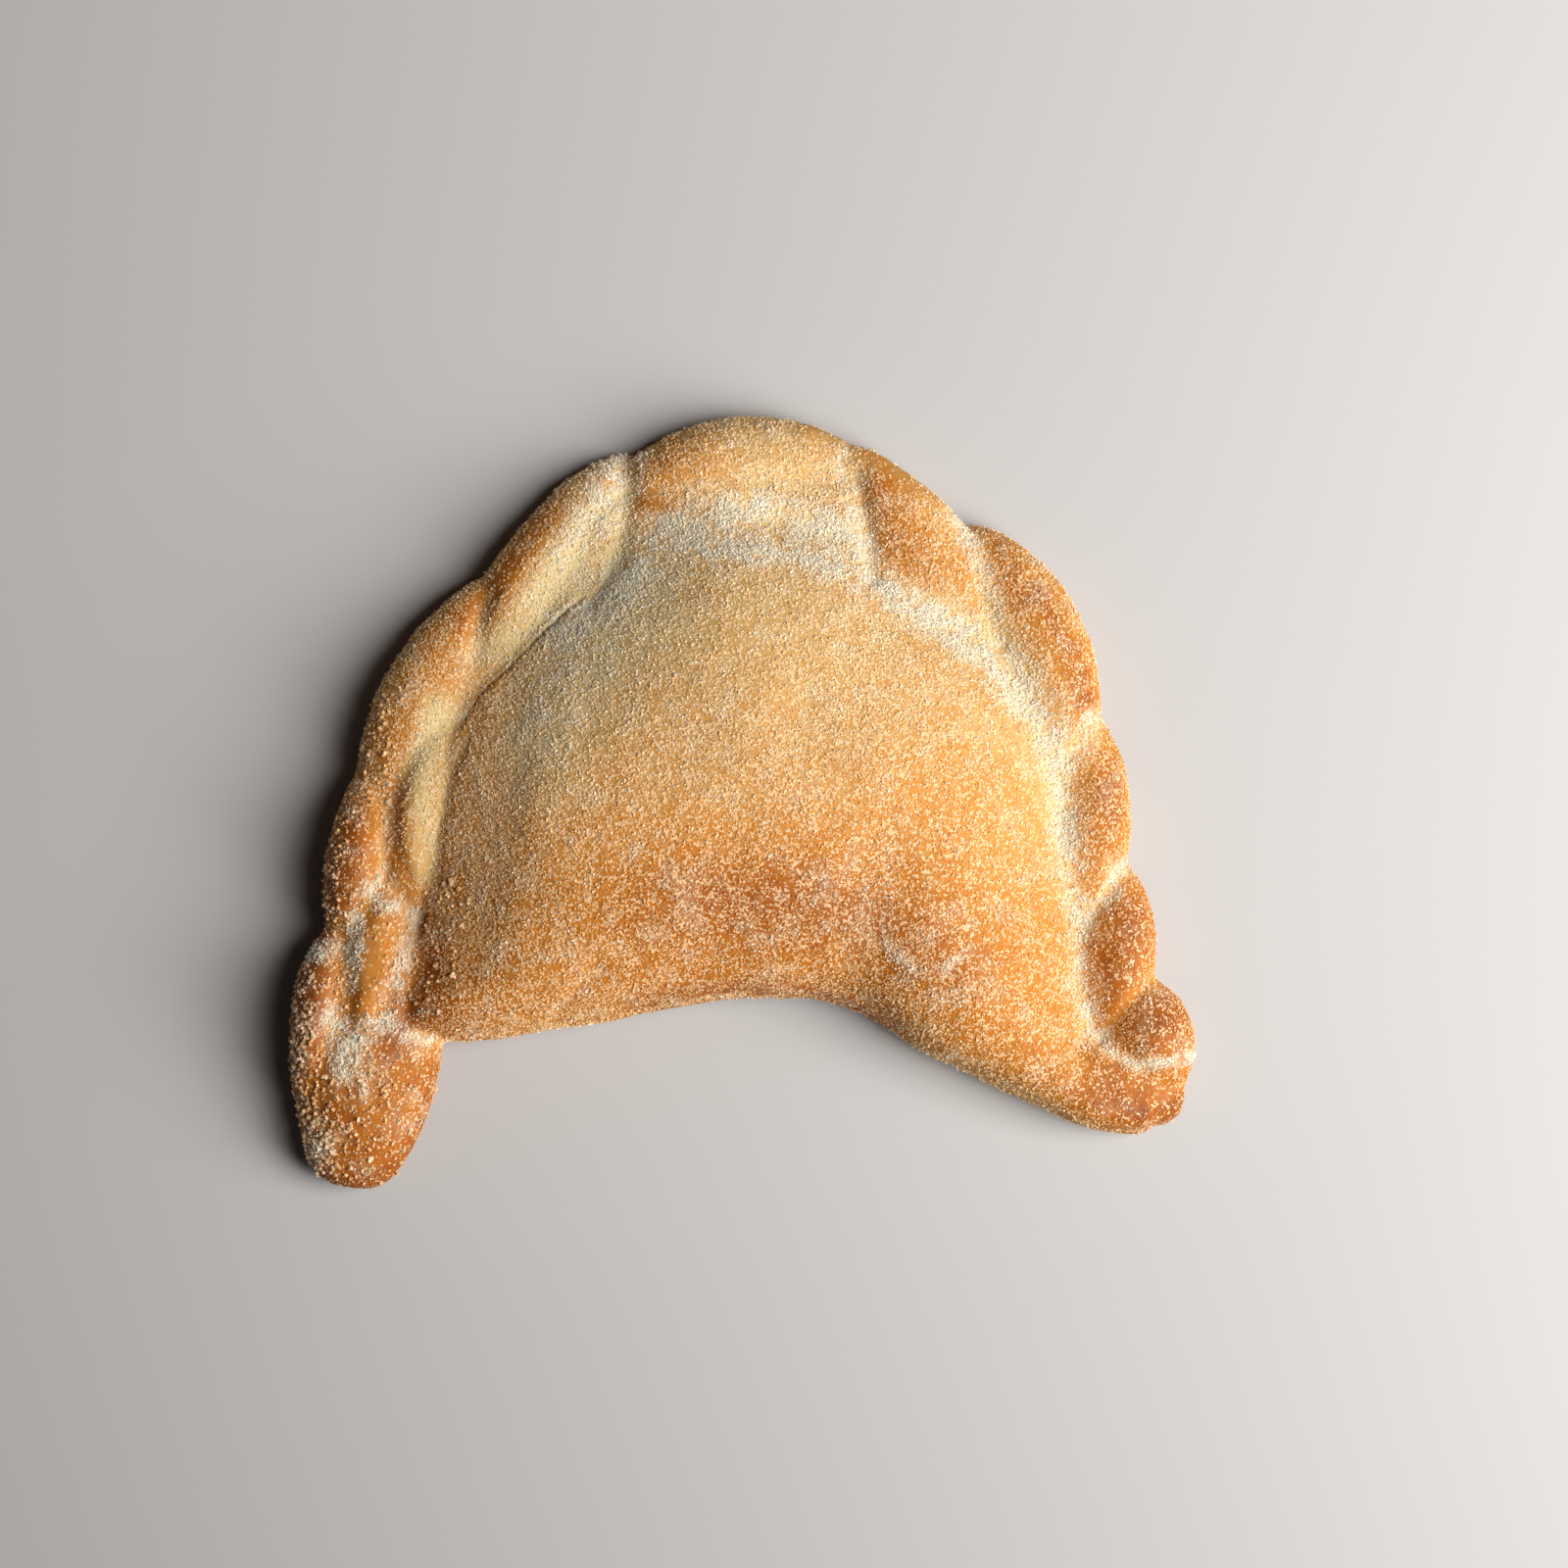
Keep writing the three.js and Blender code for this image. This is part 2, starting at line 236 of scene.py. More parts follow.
BAKE_AND_PAINTED_LIGHT_AREAS = (                 # how much further baked, some rows painted shade and light, and where
    # the whole: browner to the front, to the left and on ridges, paler in valleys
    (0.25, smooth_step(8.0, -24.0, plan[:, 1])),
    (0.16, smooth_step(-22.0, -42.0, plan[:, 0])),
    (-0.20, smooth_step(0.0, 0.7, valley)),
    (0.16, smooth_step(0.0, -0.7, valley)),
    # fourth fold: outer side browner, inner side paler, partly painted shade and light
    (0.30, stroke([(-37.0, 23.5), (-31.0, 30.5), (-25.5, 38.5)], 1.8)),
    (-0.26, stroke([(-19.4, 40.4), (-24.4, 30.6), (-32.4, 21.6)], 3.0)),
    # fifth fold, at the crown: left end browner, right paler, partly painted shade and light
    (0.18, spot((-10.5, 45.0), 6.5, 4.0)),
    (0.36, stroke([(-13.4, 39.8), (-9.8, 39.2)], 1.3)),
    (-0.16, spot((5.0, 46.5), 9.0, 5.0)),
    # sixth fold: left side browner, partly painted shade; its inner end; its right side
    (0.34, stroke([(18.0, 42.0), (19.3, 36.0), (20.3, 29.8)], 2.5)),
    (0.20, spot((24.5, 32.5), 5.5, 3.0, -60)),
    (0.14, stroke([(29.3, 34.0), (30.8, 26.5)], 1.8)),
    # seventh and eighth folds: the seventh's left side browner, partly painted shade
    (0.28, stroke([(34.0, 34.5), (36.5, 27.5)], 3.0)),
    (0.40, stroke([(40.0, 27.0), (43.5, 20.5), (45.4, 14.0)], 2.8)),
    (0.36, spot((48.8, 2.0), 3.6, 8.0)),
    # ninth fold, with its crevice a little darker as painted shade, tenth fold and tail
    (0.20, spot((51.5, -16.0), 4.0, 7.0)),
    (0.10, stroke([(48.1, -20.7), (49.3, -24.5), (48.5, -28.9)], 1.3)),
    (0.20, spot((54.5, -28.3), 4.5, 4.5)),
    (0.28, spot((52.0, -39.5), 10.0, 5.0, -20)),
    # belly: beside the rope, its top, its upper left flank, its lower middle and front edge
    # paler beside the rope on the right: partly paler crust by the seam, partly a painted
    # highlight
    (-0.06, stroke([(31.6, 10.4), (38.0, 5.5), (40.2, -0.5), (42.0, -12.4)], 2.4)),
    (-0.10, spot((0.0, 24.0), 22.0, 10.0)),
    # paler on the upper left flank: painted light on a flank that lies in shade
    (-0.18, stroke([(-13.0, 27.0), (-21.0, 18.0), (-27.0, 8.0)], 6.0)),
    (0.35, spot((-1.0, -12.0), 20.0, 9.0)),
    (0.06, spot((-14.0, -24.0), 16.0, 5.0)),
    (0.18, stroke([(-13.0, -26.4), (0.0, -24.4), (11.0, -25.0), (20.0, -29.6)], 1.8)),
    # belly: its right, its edge towards the tail, its left flank and left corner
    (0.10, spot((27.0, 2.0), 11.0, 10.0)),
    (0.20, spot((23.0, -19.0), 14.0, 8.0, -30)),
    # paler along the edge towards the tail: painted light on an edge that lies in shade
    (-0.14, stroke([(20.0, -33.0), (37.0, -38.5), (50.0, -42.5)], 2.6)),
    # a little paler on the left flank: painted light on a flank that lies in shade
    (-0.02, stroke([(-36.5, 6.0), (-38.0, -8.0), (-36.5, -18.0)], 4.0)),
    (0.20, stroke([(-40.5, -21.0), (-43.0, -26.0), (-46.0, -31.0)], 2.0)),
    # third fold: its outer side, its crease darker as painted shade, its inner side paler, partly
    # painted light
    (0.14, stroke([(-49.7, 6.5), (-50.5, -1.6), (-53.5, -11.0)], 2.6)),
    (0.26, stroke([(-45.8, 2.0), (-45.9, -5.1), (-43.9, -10.5)], 1.2)),
    (-0.46, stroke([(-40.4, 12.4), (-42.0, 4.4), (-42.8, -9.0)], 2.4)),
    # finger's outer ridge; the tongue, paler, partly painted light; the crease at its foot,
    # painted shade
    (0.06, stroke([(-57.8, -24.0), (-58.6, -34.0)], 3.0)),
    (-0.26, stroke([(-48.1, -17.8), (-49.0, -21.5), (-50.5, -27.0)], 2.0)),
    (0.20, stroke([(-50.8, -24.6), (-51.4, -28.4)], 0.9)),
    # the underside and its rim
    (0.18, smooth_step(0.25, -0.5, normals[:, 2])),
)
bake_and_painted_light = np.full(skin_count, EVEN_BAKE)
for amount, mask in BAKE_AND_PAINTED_LIGHT_AREAS:
    bake_and_painted_light += amount * mask
bake_and_painted_light = np.clip(bake_and_painted_light, 0.0, 1.0)


def keep_on_skin(name, values):
    """Stores one number for each point of the skin, under a name that materials read."""
    attribute = crust.data.attributes.new(name, "FLOAT", "POINT")
    attribute.data.foreach_set("value", values.astype(np.float32))


keep_on_skin("bake_and_painted_light", bake_and_painted_light)


# ---- The crust's finish --------------------------------------------------------------------
# Milk-washed wheat crust: creamy where pale, through straw and amber to chestnut, mottled,
# dull all over, with a faint gloss on its darkest spots. The finest sugar clings to it.

BAKE_TONES = (                  # how far baked, and the crust's colour there (linear)
    (0.00, (0.73, 0.56, 0.26)),
    (0.20, (0.66, 0.40, 0.145)),
    (0.42, (0.62, 0.27, 0.056)),
    (0.62, (0.54, 0.19, 0.019)),
    (0.80, (0.40, 0.112, 0.009)),
    (1.00, (0.22, 0.052, 0.005)),
)
BLOTCHES_PER_METRE = 420.0
BLOTCH_MEAN = 0.5
MOTTLING = 0.42                 # how much the oven's blotches change the bake

FROST = (0.95, 0.69, 0.41)      # the finest grains, with the crust shining through
FROST_GRAINS_PER_METRE = 3300.0
FROST_GRAIN_EDGE = 0.03
FROST_SHARE = 0.36              # of the crust, where it is fully dusted
FROST_STRENGTH = 0.70
CREAM = (0.89, 0.78, 0.57)      # where sugar lies so thick that it hides the crust

PORES_PER_METRE = 1700.0
PORE_DEPTH = 0.12 * MM
GLOSSY_FROM = 0.55              # how far baked the crust is where its gloss begins
DULL, SATIN = 0.72, 0.5         # roughness below that, and where it is darkest

MIX_A, MIX_B, MIXED = 6, 7, 2   # the colour sockets of a Mix node


def set_sockets(node, values):
    """Sets a node's own sockets, each given by its name or number."""
    for socket, value in values.items():
        node.inputs[socket].default_value = value


def add_node(tree, kind, values=None, **settings):
    """Adds a node to a node tree, with its settings and the values of its sockets."""
    node = tree.nodes.new(kind)
    for name, setting in settings.items():
        setattr(node, name, setting)
    set_sockets(node, values or {})
    return node


def new_finish(name, values):
    """Makes a material, and gives it with its shader, whose own sockets have these values."""
    finish = bpy.data.materials.new(name)
    finish.use_nodes = True
    surface = finish.node_tree.nodes["Principled BSDF"]
    set_sockets(surface, values)
    return finish, surface


def browning_group():
    """Node group: the colour of crust baked so far, with the oven's mottling in it."""
    group = bpy.data.node_groups.new("browning", "ShaderNodeTree")
    group.interface.new_socket("Bake", in_out="INPUT", socket_type="NodeSocketFloat")
    group.interface.new_socket("Mottling", in_out="INPUT", socket_type="NodeSocketFloat")
    group.interface.new_socket("Colour", in_out="OUTPUT", socket_type="NodeSocketColor")
    given = add_node(group, "NodeGroupInput")
    result = add_node(group, "NodeGroupOutput")
    where = add_node(group, "ShaderNodeTexCoord")
    blotches = add_node(group, "ShaderNodeTexNoise",
                        {"Scale": BLOTCHES_PER_METRE, "Detail": 5.0, "Roughness": 0.62})
    centred = add_node(group, "ShaderNodeMath", {1: BLOTCH_MEAN}, operation="SUBTRACT")
    amount = add_node(group, "ShaderNodeMath", operation="MULTIPLY")
    total = add_node(group, "ShaderNodeMath", operation="ADD", use_clamp=True)
    tones = add_node(group, "ShaderNodeValToRGB")
    ramp = tones.color_ramp
    while len(ramp.elements) < len(BAKE_TONES):
        ramp.elements.new(1.0)
    for element, (at, colour) in zip(ramp.elements, BAKE_TONES):
        element.position = at
        element.color = (*colour, 1.0)
    link = group.links.new
    link(where.outputs["Object"], blotches.inputs["Vector"])
    link(blotches.outputs["Fac"], centred.inputs[0])
    link(centred.outputs[0], amount.inputs[0])
    link(given.outputs["Mottling"], amount.inputs[1])
    link(given.outputs["Bake"], total.inputs[0])
    link(amount.outputs[0], total.inputs[1])
    link(total.outputs[0], tones.inputs["Fac"])
    link(tones.outputs["Color"], result.inputs["Colour"])
    return group


def frost_group():
    """Node group: where the finest sugar sticks, grain by grain, for a cover from 0 to 1."""
    group = bpy.data.node_groups.new("sugar_frost", "ShaderNodeTree")
    group.interface.new_socket("Cover", in_out="INPUT", socket_type="NodeSocketFloat")
    group.interface.new_socket("Grains per metre", in_out="INPUT", socket_type="NodeSocketFloat")
    group.interface.new_socket("Mask", in_out="OUTPUT", socket_type="NodeSocketFloat")
    given = add_node(group, "NodeGroupInput")
    result = add_node(group, "NodeGroupOutput")
    where = add_node(group, "ShaderNodeTexCoord")
    grains = add_node(group, "ShaderNodeTexVoronoi")
    drawn = add_node(group, "ShaderNodeSeparateColor")
    gap = add_node(group, "ShaderNodeMath", operation="SUBTRACT")
    there = add_node(group, "ShaderNodeMapRange",
                     {"From Min": -FROST_GRAIN_EDGE, "From Max": FROST_GRAIN_EDGE}, clamp=True)
    link = group.links.new
    link(where.outputs["Object"], grains.inputs["Vector"])
    link(given.outputs["Grains per metre"], grains.inputs["Scale"])
    link(grains.outputs["Color"], drawn.inputs["Color"])
    link(given.outputs["Cover"], gap.inputs[0])
    link(drawn.outputs["Red"], gap.inputs[1])
    link(gap.outputs[0], there.inputs["Value"])
    link(there.outputs["Result"], result.inputs["Mask"])
    return group


browning = browning_group()
frost = frost_group()


def sugared_crust_colour(tree):
    """The crust's colour: browned, frosted grain by grain, and hidden where sugar is heaped."""
    bake_and_painted_light_node = add_node(tree, "ShaderNodeAttribute", attribute_name="bake_and_painted_light")
    browned = add_node(tree, "ShaderNodeGroup", {"Mottling": MOTTLING}, node_tree=browning)
    dusting = add_node(tree, "ShaderNodeAttribute", attribute_name="dusted")
    cover = add_node(tree, "ShaderNodeMath", {1: FROST_SHARE}, operation="MULTIPLY")
    grains = add_node(tree, "ShaderNodeGroup", {"Grains per metre": FROST_GRAINS_PER_METRE},
                      node_tree=frost)
    whiter = add_node(tree, "ShaderNodeMath", {1: FROST_STRENGTH}, operation="MULTIPLY")
    frosted = add_node(tree, "ShaderNodeMix", {MIX_B: (*FROST, 1.0)}, data_type="RGBA")
    drifts = add_node(tree, "ShaderNodeAttribute", attribute_name="drifted")
    buried = add_node(tree, "ShaderNodeMix", {MIX_B: (*CREAM, 1.0)}, data_type="RGBA")
    link = tree.links.new
    link(bake_and_painted_light_node.outputs["Fac"], browned.inputs["Bake"])
    link(browned.outputs["Colour"], frosted.inputs[MIX_A])
    link(dusting.outputs["Fac"], cover.inputs[0])
    link(cover.outputs[0], grains.inputs["Cover"])
    link(grains.outputs["Mask"], whiter.inputs[0])
    link(whiter.outputs[0], frosted.inputs["Factor"])
    link(frosted.outputs[MIXED], buried.inputs[MIX_A])
    link(drifts.outputs["Fac"], buried.inputs["Factor"])
    return buried.outputs[MIXED]


def crust_finish():
    """The crust's material: browned and sugared, finely pored, with its darkest spots satin."""
    finish, surface = new_finish("baked_dough", {
        "Specular IOR Level": 0.2,
        "Subsurface Weight": 0.25,
        "Subsurface Radius": (1.0, 0.45, 0.18),
        "Subsurface Scale": 2.0 * MM,
    })
    tree = finish.node_tree
    bake_and_painted_light_node = add_node(tree, "ShaderNodeAttribute", attribute_name="bake_and_painted_light")
    gloss = add_node(tree, "ShaderNodeMapRange",
                     {"From Min": GLOSSY_FROM, "To Min": DULL, "To Max": SATIN})
    where = add_node(tree, "ShaderNodeTexCoord")
    pores = add_node(tree, "ShaderNodeTexNoise", {"Scale": PORES_PER_METRE, "Detail": 4.0})
    bumps = add_node(tree, "ShaderNodeBump", {"Strength": 0.5, "Distance": PORE_DEPTH})
    link = tree.links.new
    link(sugared_crust_colour(tree), surface.inputs["Base Color"])
    link(bake_and_painted_light_node.outputs["Fac"], gloss.inputs["Value"])
    link(gloss.outputs["Result"], surface.inputs["Roughness"])
    link(where.outputs["Object"], pores.inputs["Vector"])
    link(pores.outputs["Fac"], bumps.inputs["Height"])
    link(bumps.outputs["Normal"], surface.inputs["Normal"])
    return finish


crust.data.materials.clear()
crust.data.materials.append(crust_finish())
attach(crust, "root")
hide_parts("crust")


# ---- Where the sugar lies ------------------------------------------------------------------
# Granulated sugar is thrown over the hot empanada. It stays on what faces up, gathers in the
# creases, and slides off steep sides, leaving some folds bare.

BARE_AREAS = (                  # how bare, and where
    # fourth and fifth folds, and the rope's outer edge past the crown
    (0.60, stroke([(-27.5, 37.5), (-31.0, 31.0), (-35.5, 25.5)], 1.5)),
    (0.80, stroke([(-13.0, 39.8), (-9.8, 39.2)], 1.2)),
    (0.60, spot((3.2, 36.9), 3.0, 1.5)),
    (0.80, stroke([(8.0, 50.4), (14.0, 48.4), (19.0, 45.2), (23.5, 41.0)], 1.8)),
    # tongue and finger
    (0.90, stroke([(-48.1, -18.8), (-49.0, -21.5), (-50.5, -27.0)], 1.4)),
    (0.50, spot((-55.2, -26.5), 1.6, 2.2)),
    (0.50, spot((-50.0, -34.9), 1.8, 1.8)),
    (0.30, spot((-50.0, -43.5), 5.5, 7.5)),
    # ninth fold, with its crevice, tenth fold and tail
    (0.30, stroke([(51.5, -12.0), (51.5, -20.0)], 3.0)),
    (0.75, stroke([(48.1, -20.7), (49.3, -24.5), (48.7, -28.5)], 1.2)),
    (0.45, spot((55.0, -28.3), 4.0, 4.0)),
    (0.60, spot((51.5, -39.8), 9.0, 4.5, -20)),
    # belly: its right side and its left corner
    (0.35, spot((36.0, -2.0), 8.0, 18.0)),
    (0.40, stroke([(-41.5, -22.0), (-43.5, -27.0), (-46.5, -31.5)], 2.0)),
)
HEAPED_AREAS = (                # how thick, and where
    # along the seam between belly and rope, from the left over the crown to the tail
    (0.90, stroke([(-24.0, 22.5), (-19.0, 26.4), (-13.0, 31.0)], 2.6)),
    (0.85, stroke([(-11.0, 35.4), (-5.0, 38.0), (3.0, 38.6), (11.0, 36.4), (15.5, 32.6)], 3.0)),
    (0.75, stroke([(-9.0, 33.4), (0.0, 33.6), (8.0, 32.8), (13.0, 30.8)], 2.2)),
    (0.80, stroke([(17.0, 29.2), (25.0, 25.2), (30.0, 21.4), (35.0, 16.6), (38.8, 12.0)], 2.4)),
    (0.55, stroke([(33.5, 21.0), (38.0, 15.0), (41.4, 9.5)], 2.4)),
    (0.75, stroke([(38.6, 12.0), (41.6, 6.0), (42.8, -2.6), (43.6, -8.0)], 2.0)),
    (0.50, stroke([(43.6, -8.0), (44.8, -18.0), (45.2, -25.0), (47.0, -31.0)], 1.6)),
    (0.85, stroke([(47.5, -31.5), (49.8, -33.7), (53.0, -34.8), (59.4, -33.9)], 0.8)),
    # in the creases from fold to fold, the fourth to the ninth
    (0.60, stroke([(-16.0, 46.5), (-18.0, 40.0), (-22.0, 33.0)], 3.0)),
    (0.48, stroke([(13.6, 46.0), (14.6, 40.0), (16.0, 31.0)], 2.0)),
    (0.38, stroke([(28.6, 38.4), (31.4, 32.0), (33.8, 25.0)], 1.6)),
    (0.65, stroke([(45.9, 11.0), (44.9, 8.0), (43.0, 5.0)], 1.4)),
    (0.70, stroke([(50.6, -8.5), (48.8, -12.0), (46.2, -15.1)], 1.2)),
    # round the tongue, and over the root of the finger
    (0.50, stroke([(-48.4, -10.8), (-46.0, -13.5)], 2.1)),
    (0.45, stroke([(-43.2, -14.5), (-44.0, -19.5), (-46.6, -26.5)], 1.5)),
    (0.60, stroke([(-51.6, -19.0), (-51.2, -24.0)], 1.3)),
    (0.75, stroke([(-51.2, -15.5), (-51.0, -19.0)], 1.2)),
    (0.85, stroke([(-56.8, -20.0), (-54.0, -19.2)], 1.3)),
    (0.85, stroke([(-52.6, -31.2), (-48.5, -29.6), (-46.0, -28.4)], 1.6)),
    (0.60, stroke([(-45.0, -30.6), (-41.3, -31.6)], 0.9)),
    # on the finger, down to its tip
    (0.95, stroke([(-54.5, -28.5), (-52.6, -31.5), (-51.5, -35.5)], 2.0)),
    (0.45, stroke([(-51.8, -35.5), (-49.5, -39.0)], 0.8)),
    (0.48, spot((-56.5, -45.5), 2.4, 3.2)),
    # on the belly: thin drifts on its left flank, partly painted light there, and wisps round its
    # dent
    (0.22, stroke([(-16.0, 29.0), (-22.0, 20.0), (-27.0, 12.0)], 5.5)),
    (0.06, stroke([(-29.0, 10.0), (-33.0, -12.0)], 6.0)),
    (0.10, spot((17.0, -13.5), 3.0, 8.0, -15)),
    (0.35, stroke([(18.6, -18.2), (22.5, -21.5)], 0.7)),
    (0.35, stroke([(26.4, -21.5), (30.3, -18.9)], 0.7)),
)
COARSE_AREAS = (                # how thick the coarse crystals lie, and where
    # third fold, the root of the finger and the belly's left end
    (0.25, stroke([(-47.5, 14.0), (-48.5, 4.0), (-52.0, -4.0)], 2.5)),
    (0.30, stroke([(-56.0, -6.0), (-55.0, -14.0)], 2.6)),
    (0.20, stroke([(-51.5, -9.0), (-47.5, -13.0), (-45.5, -20.0)], 2.2)),
    (0.50, stroke([(-53.0, -20.0), (-54.5, -24.0)], 2.0)),
    (0.30, stroke([(-38.5, -10.0), (-40.0, -20.0), (-41.5, -25.0)], 2.4)),
    # finger
    (0.60, stroke([(-57.5, -22.0), (-58.5, -32.0), (-57.5, -46.0)], 2.6)),
    (0.30, spot((-50.0, -41.0), 8.0, 9.0)),
    (0.80, spot((-55.5, -45.5), 3.5, 4.5)),
)
LEFT_FLANK = [(-10.0, 31.0), (-22.0, 20.0), (-29.5, 7.0), (-33.0, -8.0), (-34.0, -18.0)]
LEFT_FLANK_HALF_WIDTH = 6.0

SLIDES_OFF, HOLDS = -0.35, 0.55         # how far skin faces up, from -1 to 1
RAGGED_PATCHES, RAGGED_SPECKS = 0.35, 0.3
COARSE_ROLLS_OFF, COARSE_HOLDS = -0.15, 0.45
SWEPT_BELOW, LEFT_ABOVE = 0.6, 3.5      # heights in mm, next to the table
RAGGED_FOOT = 1.2

EVEN_DUSTING = 0.76             # all amounts are shares of the most that the crust can hold
LEAST_DUSTING = 0.06
WIDE_CLOUDS, CLOUDS, SPECKLES = 0.18, 0.32, 0.35        # how uneven the dusting is
LOST_AT_LEFT_END = 0.6
# the left flank's extra dusting: partly real sugar, partly painted light on a flank in shade
SUGAR_AND_PAINTED_LIGHT_ON_LEFT_FLANK = 0.6

VALLEY_HEAP = 0.4               # what gathers in any deep valley
SHALLOW, DEEP = 0.35, 1.2       # a valley's depth, in mm
BETWEEN_WISPS, IN_WISPS = 0.30, 1.3     # what is left of a heap, and what its wisps add
FILM = 0.12                     # the thin films that lie in patches
COARSE_SPECKLES = 1.4

# Where sugar holds: on what faces up, but for a ragged edge, and clear of the table.
wide_patches = cloudy(6.0, offset=10.0)
patches = cloudy(2.6, offset=20.0)
specks = cloudy(1.1, offset=40.0)
facing_up = smooth_step(
    SLIDES_OFF, HOLDS, normals[:, 2] + RAGGED_PATCHES * patches + RAGGED_SPECKS * specks)
clear_of_table = smooth_step(SWEPT_BELOW, LEFT_ABOVE, heights + RAGGED_FOOT * patches)
bare = np.ones(skin_count)
for amount, mask in BARE_AREAS:
    bare *= 1.0 - amount * mask

# The dusting: cloudy all over, thinner at the left end and thicker on the left flank.
left_end = smooth_step(-38.0, -46.0, plan[:, 0]) * smooth_step(6.0, -6.0, plan[:, 1])
dusted = EVEN_DUSTING + WIDE_CLOUDS * wide_patches + CLOUDS * patches + SPECKLES * specks
dusted = np.clip(dusted * bare * (1.0 - LOST_AT_LEFT_END * left_end), LEAST_DUSTING, 1.0)
# thicker on the left flank, partly as painted light that lightens a flank lying in shade
dusted *= 1.0 + SUGAR_AND_PAINTED_LIGHT_ON_LEFT_FLANK * stroke(LEFT_FLANK, LEFT_FLANK_HALF_WIDTH)
dusted *= facing_up * clear_of_table
keep_on_skin("dusted", dusted)

# The heaps, broken up into wisps and crumbs, and the thin films between them.
heaped = VALLEY_HEAP * smooth_step(SHALLOW, DEEP, valley)
for amount, mask in HEAPED_AREAS:
    heaped = np.maximum(heaped, mask * amount)
wisps = smooth_step(-0.2, 0.6, 0.8 * patches + specks + 0.4 * heaped)
heaped *= BETWEEN_WISPS + IN_WISPS * wisps
thin_film = FILM * smooth_step(0.0, 0.6, patches + 0.3 * wide_patches)
drifted = np.clip(np.maximum(heaped, thin_film), 0.0, 1.0) * facing_up * bare
drifted *= clear_of_table
keep_on_skin("drifted", drifted)

# The coarse crystals, which roll off what is steep.
coarse = np.zeros(skin_count)
for amount, mask in COARSE_AREAS:
    coarse = np.maximum(coarse, mask * amount)
coarse = np.clip(coarse * (1.0 + COARSE_SPECKLES * specks), 0.0, 1.0) * bare
coarse *= smooth_step(COARSE_ROLLS_OFF, COARSE_HOLDS, normals[:, 2]) * clear_of_table
keep_on_skin("coarse", coarse)


# ---- The sugar's crystals ------------------------------------------------------------------
# Granulated cane sugar: blocky, slightly slanted crystals, clear but full of white glints.
# Every kind is one joined mesh of loose crystals, strewn by one and the same node group.

GRAIN_RADIUS = 0.6 * MM
GRAIN_HEIGHT = 0.7 * MM
GRAIN_STRETCH = (1.1, 0.9, 1.0)
CRYSTAL_LENGTH = 1.0 * MM
CRYSTAL_PROPORTIONS = (1.0, 0.86, 0.78)
ONE_CRYSTAL = (                 # how far it leans, and where it lies, in mm
    (0.25, (0.0, 0.0, 0.0)),
)
GROWN_TOGETHER = (              # the same for each crystal of a clump
    (0.20, (0.0, 0.0, 0.0)),
    (-0.25, (0.62, 0.2, 0.1)),
    (0.3, (0.1, 0.66, -0.1)),
    (-0.1, (-0.5, 0.3, 0.25)),
)


def sugar_grain():
    """A fine grain, 1 mm across: a splinter of four faces."""
    bpy.ops.object.select_all(action="DESELECT")
    bpy.ops.mesh.primitive_cone_add(vertices=3, radius1=GRAIN_RADIUS, depth=GRAIN_HEIGHT)
    bpy.ops.object.mode_set(mode="EDIT")
    bpy.ops.transform.resize(value=GRAIN_STRETCH)
    bpy.ops.object.mode_set(mode="OBJECT")
    return bpy.context.object


def sugar_crystal(crystals):
    """Slanted blocks, each 1 mm long, joined to one crystal or clump."""
    blocks = []
    bpy.ops.object.select_all(action="DESELECT")
    for lean, place in crystals:
        bpy.ops.mesh.primitive_cube_add(size=CRYSTAL_LENGTH, location=(0.0, 0.0, 0.0))
        bpy.ops.object.mode_set(mode="EDIT")
        bpy.ops.transform.resize(value=CRYSTAL_PROPORTIONS)
        bpy.ops.object.mode_set(mode="OBJECT")
        block = bpy.context.object
        for vertex in block.data.vertices:
            vertex.co.x += lean * vertex.co.z
            vertex.co += Vector(place) * MM
        blocks.append(block)
    for block in blocks:
        block.select_set(True)
    bpy.ops.object.join()
    return bpy.context.object


RANDOM_MIN, RANDOM_MAX, RANDOM_NUMBER = 2, 3, 1     # a Random Value node's sockets for numbers


